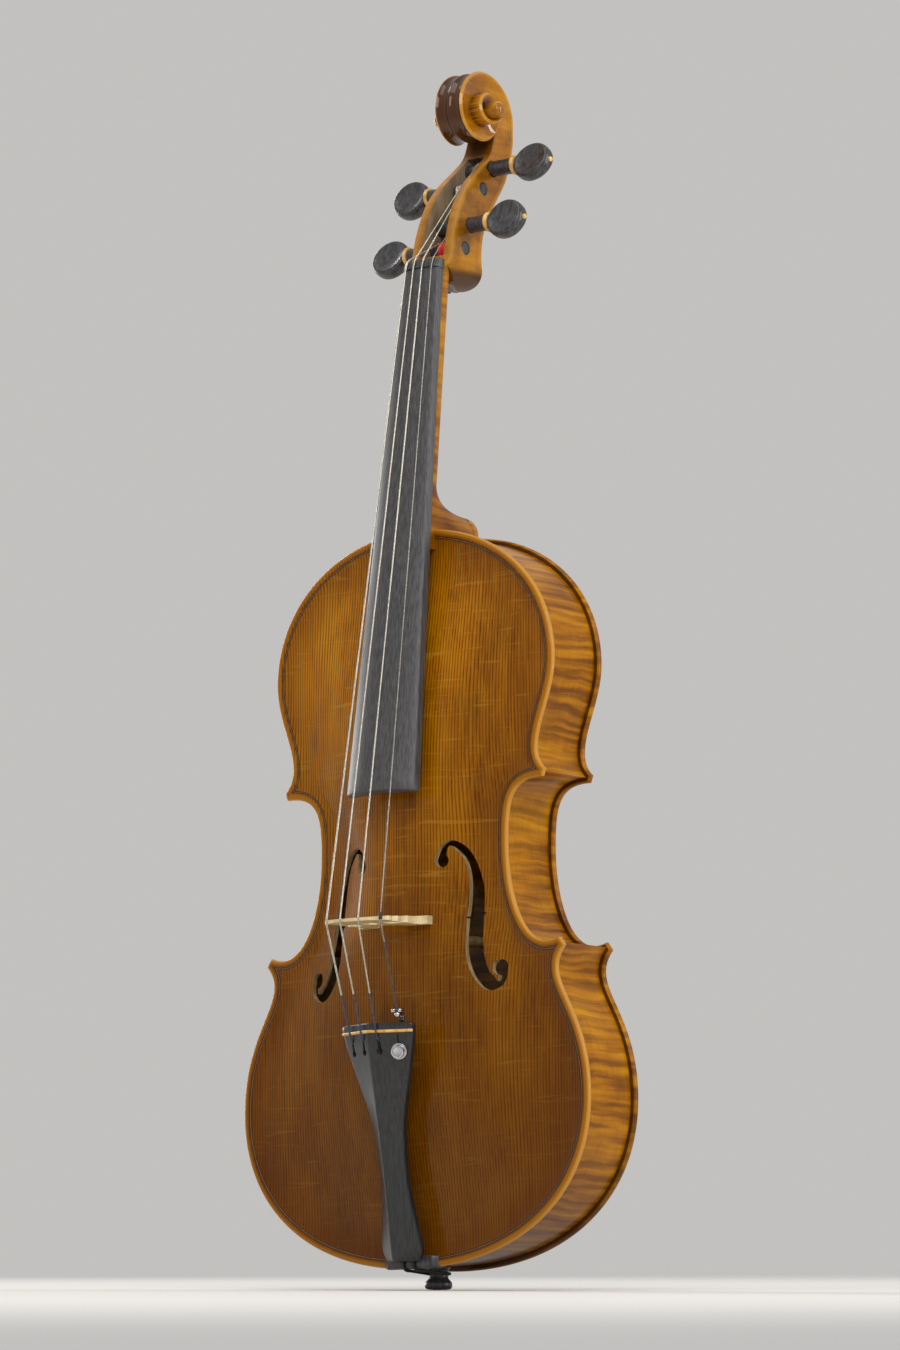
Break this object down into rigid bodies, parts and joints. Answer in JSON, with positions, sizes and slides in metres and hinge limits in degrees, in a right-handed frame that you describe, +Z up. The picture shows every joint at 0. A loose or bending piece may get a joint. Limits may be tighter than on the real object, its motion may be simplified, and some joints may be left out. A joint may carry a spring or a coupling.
{
  "type": "viola",
  "caption": "Full-size viola with arched plates, f-shaped sound holes, carved scroll, pegs, bridge, tailpiece and a fine tuner on the A string.",
  "frame": {"origin": "centre of the end button's flat tip, the lowest point of the instrument", "axes": "+Z up along the strings to the scroll, -Y out of the front, +X towards the treble side, with Y = 0 halfway through the ribs"},
  "size_m": [0.2434, 0.1377, 0.6906],
  "materials": {
    "varnished_spruce": "glossy golden-brown oil varnish over straight grain",
    "varnished_maple": "glossy golden varnish over flamed grain",
    "bare_spruce": "bare, fine straight grain",
    "bare_willow": "bare, soft grain",
    "ebony": "satin, hand polished",
    "bridge_maple": "bare, waxed, speckled grain",
    "boxwood": "satin, yellow",
    "purfling": "black lines beside a pale one, under varnish",
    "gut_black": "matt black cord",
    "nickelled_steel": "bright nickel plate",
    "string_wire": "fine flat-wound wire",
    "string_silk": "lapped red silk"
  },
  "bodies": {
    "instrument": {"back_plate": "varnished_maple", "back_purfling": "purfling", "bass_bar": "bare_spruce", "bottom_block": "bare_willow", "bridge": "bridge_maple", "bridge_protector": "gut_black", "end_button": "ebony", "fingerboard": "ebony", "lower_back_lining_bass": "bare_willow", "lower_back_lining_treble": "bare_willow", "lower_corner_block_bass": "bare_willow", "lower_corner_block_treble": "bare_willow", "lower_rib_bass": "varnished_maple", "lower_rib_treble": "varnished_maple", "lower_top_lining_bass": "bare_willow", "lower_top_lining_treble": "bare_willow", "neck_and_scroll": "varnished_maple", "nut": "ebony", "saddle": "ebony", "sound_post": "bare_spruce", "string_a": "string_wire", "string_c": "string_wire", "string_d": "string_wire", "string_g": "string_wire", "tail_gut": "gut_black", "tailpiece": "ebony", "tailpiece_fret": "boxwood", "top_block": "bare_willow", "top_plate": "varnished_spruce", "top_purfling_bass": "purfling", "top_purfling_treble": "purfling", "tuner_frame": "nickelled_steel", "tuner_nut": "nickelled_steel", "upper_back_lining_bass": "bare_willow", "upper_back_lining_treble": "bare_willow", "upper_corner_block_bass": "bare_willow", "upper_corner_block_treble": "bare_willow", "upper_rib_bass": "varnished_maple", "upper_rib_treble": "varnished_maple", "upper_top_lining_bass": "bare_willow", "upper_top_lining_treble": "bare_willow", "waist_back_lining_bass": "bare_willow", "waist_back_lining_treble": "bare_willow", "waist_rib_bass": "varnished_maple", "waist_rib_treble": "varnished_maple", "waist_top_lining_bass": "bare_willow", "waist_top_lining_treble": "bare_willow"},
    "peg_c_turning": {"peg_c": "ebony", "winding_c": "string_silk"},
    "peg_g_turning": {"peg_g": "ebony", "winding_g": "string_wire"},
    "peg_d_turning": {"peg_d": "ebony", "winding_d": "string_wire"},
    "peg_a_turning": {"peg_a": "ebony", "winding_a": "string_wire"},
    "tuner_screw_sliding": {"tuner_screw": "nickelled_steel"},
    "tuner_head_turning": {"tuner_screw_head": "nickelled_steel"},
    "tuner_lever_tilting": {"tuner_lever": "nickelled_steel"}
  },
  "joints": [
    {"name": "peg_c_turn", "type": "hinge", "parent": "instrument", "child": "peg_c_turning", "pos_m": [0, 0.00868, 0.58401], "axis": [1, 0, 0], "continuous": true, "deforming": ["string_c"]},
    {"name": "peg_g_turn", "type": "hinge", "parent": "instrument", "child": "peg_g_turning", "pos_m": [0, 0.02768, 0.62147], "axis": [1, 0, 0], "continuous": true, "deforming": ["string_g"]},
    {"name": "peg_d_turn", "type": "hinge", "parent": "instrument", "child": "peg_d_turning", "pos_m": [0, 0.03771, 0.63497], "axis": [1, 0, 0], "continuous": true, "deforming": ["string_d"]},
    {"name": "peg_a_turn", "type": "hinge", "parent": "instrument", "child": "peg_a_turning", "pos_m": [0, 0.01349, 0.59799], "axis": [1, 0, 0], "continuous": true, "deforming": ["string_a"]},
    {"name": "tuner_screw_travel", "type": "slide", "parent": "instrument", "child": "tuner_screw_sliding", "axis": [-0.3525, 0.92, 0.1716], "range_m": [-0.002, 0]},
    {"name": "tuner_screw_turn", "type": "hinge", "parent": "tuner_screw_sliding", "child": "tuner_head_turning", "pos_m": [0.01605, -0.05333, 0.1274], "axis": [-0.3525, 0.92, 0.1716], "range_deg": [-1441, 0]},
    {"name": "tuner_lever_tilt", "type": "hinge", "parent": "instrument", "child": "tuner_lever_tilting", "pos_m": [0.01398, -0.04792, 0.13958], "axis": [0.9338, 0.3578, 0], "range_deg": [-10.5, 0], "deforming": ["string_a"]}
  ],
  "couplings": [
    {"joint": "tuner_screw_turn", "follows": "tuner_screw_travel", "rad_per_m": 12566},
    {"joint": "tuner_lever_tilt", "follows": "tuner_screw_travel", "rad_per_m": 90.75}
  ]
}
